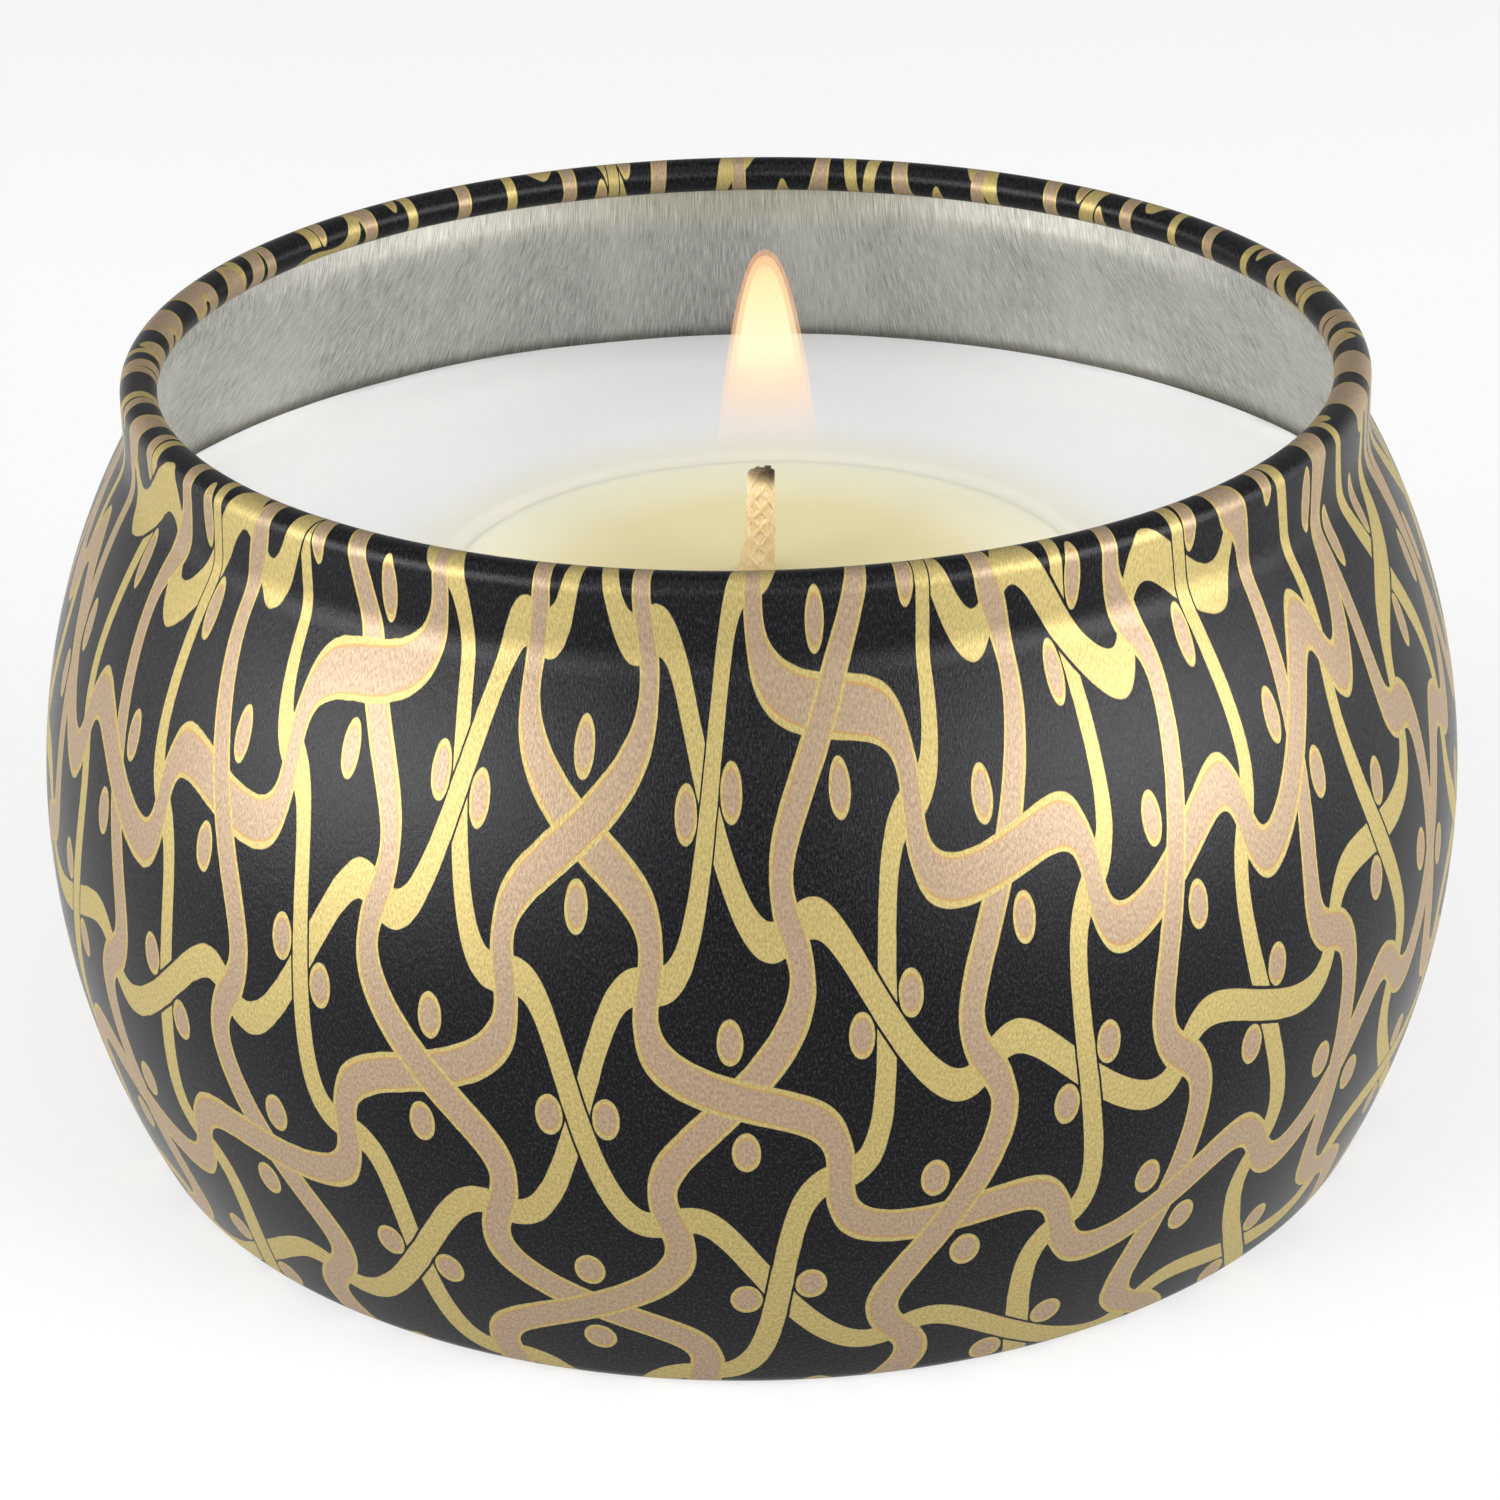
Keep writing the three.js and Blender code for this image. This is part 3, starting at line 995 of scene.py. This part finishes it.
def flame_shell(name, girth, drop, material):
    """One shell of the flame, from its foot to a small round tip that lies drop below the outermost tip."""
    fill = fill_settings()
    foot = WICK_HIGH.z - 0.2 * MM
    tip = fill.flame_tip - drop
    steps = 40
    outline = [(0, foot)]
    for i in range(steps + 1):
        share = 1 - math.cos(math.pi / 2 * (1 - i / steps))
        outline.append((fill.flame_radius * girth * share**0.45, tip - (tip - foot) * share))
    piece = turn(name, outline, 48)
    found = places(piece)
    share = (found[:, 2] - foot) / (fill.flame_tip - foot)
    found[:, 0] += FLAME_SHIFT
    set_places(piece, found)
    layer = piece.data.attributes.new(SHELL_SHARE, "FLOAT", "POINT")
    layer.data.foreach_set("value", share.astype(np.float32))
    dress(piece, material)
    piece.visible_shadow = False
    settle(piece, None)


def levels(*pairs):
    """Stops of a ramp that runs in grey, from (place, level) pairs."""
    return [(place, (level, level, level, 1)) for place, level in pairs]


def build_flame():
    """Three shells, one inside another: an orange mantle, a yellow body and a pale core."""
    mantle_glow = [
        (0.12, colour(232, 200, 166)),
        (0.35, colour(240, 200, 160)),
        (0.6, colour(255, 204, 152)),
        (0.85, colour(252, 176, 120)),
    ]
    mantle_veil = levels((0.05, 0), (0.16, 0.08), (0.32, 0.18), (0.45, 0.22), (0.97, 0.22), (1, 0.08))
    body_glow = [
        (0.35, colour(255, 226, 190)),
        (0.6, colour(255, 252, 204)),
        (0.85, colour(255, 246, 186)),
        (1, colour(255, 214, 150)),
    ]
    body_veil = levels((0.2, 0), (0.3, 0.06), (0.42, 0.16), (0.56, 0.3), (0.93, 0.3), (1, 0.2))
    core_glow = [
        (0.4, colour(250, 226, 196)),
        (0.55, colour(244, 252, 222)),
        (0.8, colour(242, 250, 202)),
        (0.93, colour(250, 236, 180)),
    ]
    core_veil = levels((0.3, 0), (0.42, 0.28), (0.52, 0.62), (0.62, 0.75), (0.88, 0.72), (0.93, 0.3))
    flame_shell("flame_mantle", 1.0, 0, flame_material("flame_mantle", mantle_glow, mantle_veil, 1.4))
    flame_shell("flame_body", 0.9, 0.35 * MM, flame_material("flame_body", body_glow, body_veil, 1.22))
    flame_shell("flame_core", 0.76, 0.9 * MM, flame_material("flame_core", core_glow, core_veil, 1.05))


# ---- stage ----


def softbox(name, place, aim, width, height, power):
    """A rectangular light that faces a point."""
    deselect()
    bpy.ops.object.light_add(type="AREA", location=place)
    lamp = bpy.context.object
    lamp.name = name
    lamp.data.shape = "RECTANGLE"
    lamp.data.size = width
    lamp.data.size_y = height
    lamp.data.energy = power
    lamp.rotation_euler = (Vector(aim) - Vector(place)).to_track_quat("-Z", "Y").to_euler()


def build_stage():
    deselect()
    bpy.ops.mesh.primitive_plane_add(size=6)
    floor = bpy.context.object
    floor.name = "floor"
    paper = Shader("floor_paper")
    tooth = paper.noise(paper.object_place(), 1200.0, 2.0)
    tint = paper.mix(tooth, colour(127, 127, 127), colour(133, 133, 133))
    paper_glow = 0.63
    lit = paper.finish(
        Base_Color=tint,
        Roughness=0.9,
        Specular_IOR_Level=0.1,
        Emission_Color=(1, 1, 1, 1),
        Emission_Strength=paper_glow,
    )
    dress(floor, lit)
    floor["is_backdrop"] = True

    middle = (0, 0, 20 * MM)
    side_watts = 8.8
    top_watts = 2.2
    for name, side in (("left_softbox", -1), ("right_softbox", 1)):
        softbox(name, (0.53 * side, -0.28, 0.16), middle, 0.5, 0.3, side_watts)
    softbox("top_softbox", (0, -0.3, 0.72), middle, 0.7, 0.5, top_watts)

    world = bpy.data.worlds.new("studio")
    world.use_nodes = True
    room = world.node_tree.nodes["Background"]
    room.inputs["Color"].default_value = (1, 1, 1, 1)
    room.inputs["Strength"].default_value = 0.45
    bpy.context.scene.world = world
    bpy.context.scene.view_settings.view_transform = "Standard"


def build_camera():
    """Looks down on the tin from the front, with a slight roll."""
    distance = 254.73 * MM
    elevation = math.radians(24.87)
    roll = -0.017
    aim = Vector((-0.1 * MM, 0, 19.84 * MM))
    back = Vector((0, -math.cos(elevation), math.sin(elevation)))
    right = Vector((1, 0, 0))
    up = back.cross(right)
    across = right * math.cos(roll) + up * math.sin(roll)
    upward = up * math.cos(roll) - right * math.sin(roll)
    turned = Matrix((across, upward, back)).transposed().to_4x4()
    deselect()
    bpy.ops.object.camera_add()
    camera = bpy.context.object
    camera.name = "camera"
    camera.data.lens = 108
    camera.data.sensor_width = 36
    camera.data.clip_start = 0.01
    camera.matrix_world = Matrix.Translation(aim + back * distance) @ turned
    bpy.context.scene.camera = camera


# ---- operators ----


def finished(*names):
    """Ends an operator, or raises an error if something that it builds is missing."""
    missing = [name for name in names if name not in bpy.data.objects]
    if missing:
        raise RuntimeError("not built: " + ", ".join(missing))
    return {"FINISHED"}


class CANDLE_OT_tin(bpy.types.Operator):
    """Builds the printed tin."""

    bl_idname = "candle.tin"
    bl_label = "Tin"

    def execute(self, context):
        build_tin()
        return finished("tin_body_printed")


class CANDLE_OT_disc(bpy.types.Operator):
    """Builds the foam disc under the wick's tab."""

    bl_idname = "candle.disc"
    bl_label = "Adhesive disc"

    def execute(self, context):
        build_disc()
        return finished("adhesive_disc_foam")


class CANDLE_OT_tab(bpy.types.Operator):
    """Builds the stamped tab and its collar."""

    bl_idname = "candle.tab"
    bl_label = "Wick tab"

    def execute(self, context):
        build_tab()
        return finished("wick_tab_stamped")


class CANDLE_OT_wick(bpy.types.Operator):
    """Builds the braided wick."""

    bl_idname = "candle.wick"
    bl_label = "Wick"

    def execute(self, context):
        build_wick()
        return finished("wick_braid")


class CANDLE_OT_wax(bpy.types.Operator):
    """Builds the set wax."""

    bl_idname = "candle.wax"
    bl_label = "Set wax"

    def execute(self, context):
        build_wax()
        return finished("wax_fill")


class CANDLE_OT_pool(bpy.types.Operator):
    """Builds the pool of melted wax."""

    bl_idname = "candle.pool"
    bl_label = "Melted wax"

    def execute(self, context):
        build_pool()
        return finished("melted_pool")


class CANDLE_OT_flame(bpy.types.Operator):
    """Builds the flame's three shells."""

    bl_idname = "candle.flame"
    bl_label = "Flame"

    def execute(self, context):
        build_flame()
        return finished("flame_mantle", "flame_body", "flame_core")


class CANDLE_OT_stage(bpy.types.Operator):
    """Builds the floor, the lights and the camera."""

    bl_idname = "candle.stage"
    bl_label = "Stage"

    def execute(self, context):
        build_stage()
        build_camera()
        return finished("floor", "left_softbox", "right_softbox", "top_softbox", "camera")


OPERATORS = [
    CANDLE_OT_tin,
    CANDLE_OT_disc,
    CANDLE_OT_tab,
    CANDLE_OT_wick,
    CANDLE_OT_wax,
    CANDLE_OT_pool,
    CANDLE_OT_flame,
    CANDLE_OT_stage,
]


class CANDLE_PT_pieces(bpy.types.Panel):
    """Lists the candle's pieces."""

    bl_label = "Candle tin"
    bl_idname = "CANDLE_PT_pieces"
    bl_space_type = "VIEW_3D"
    bl_region_type = "UI"
    bl_category = "Candle"

    def draw(self, context):
        for operator in OPERATORS:
            self.layout.operator(operator.bl_idname)


SETTINGS = {"candle_tin": TinSettings, "candle_print": PrintSettings, "candle_fill": FillSettings}


def register():
    for group in SETTINGS.values():
        bpy.utils.register_class(group)
    for operator in OPERATORS:
        bpy.utils.register_class(operator)
    bpy.utils.register_class(CANDLE_PT_pieces)
    for name, group in SETTINGS.items():
        setattr(bpy.types.Scene, name, bpy.props.PointerProperty(type=group))


def unregister():
    for name in SETTINGS:
        delattr(bpy.types.Scene, name)
    bpy.utils.unregister_class(CANDLE_PT_pieces)
    for operator in reversed(OPERATORS):
        bpy.utils.unregister_class(operator)
    for group in reversed(SETTINGS.values()):
        bpy.utils.unregister_class(group)


def main():
    register()
    for operator in OPERATORS:
        getattr(bpy.ops.candle, operator.bl_idname.split(".")[1])()
    sizes = {"cad": [list(corner) for corner in CAD_BOX], "visual": [list(corner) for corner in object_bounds()]}


if __name__ == "__main__":
    main()
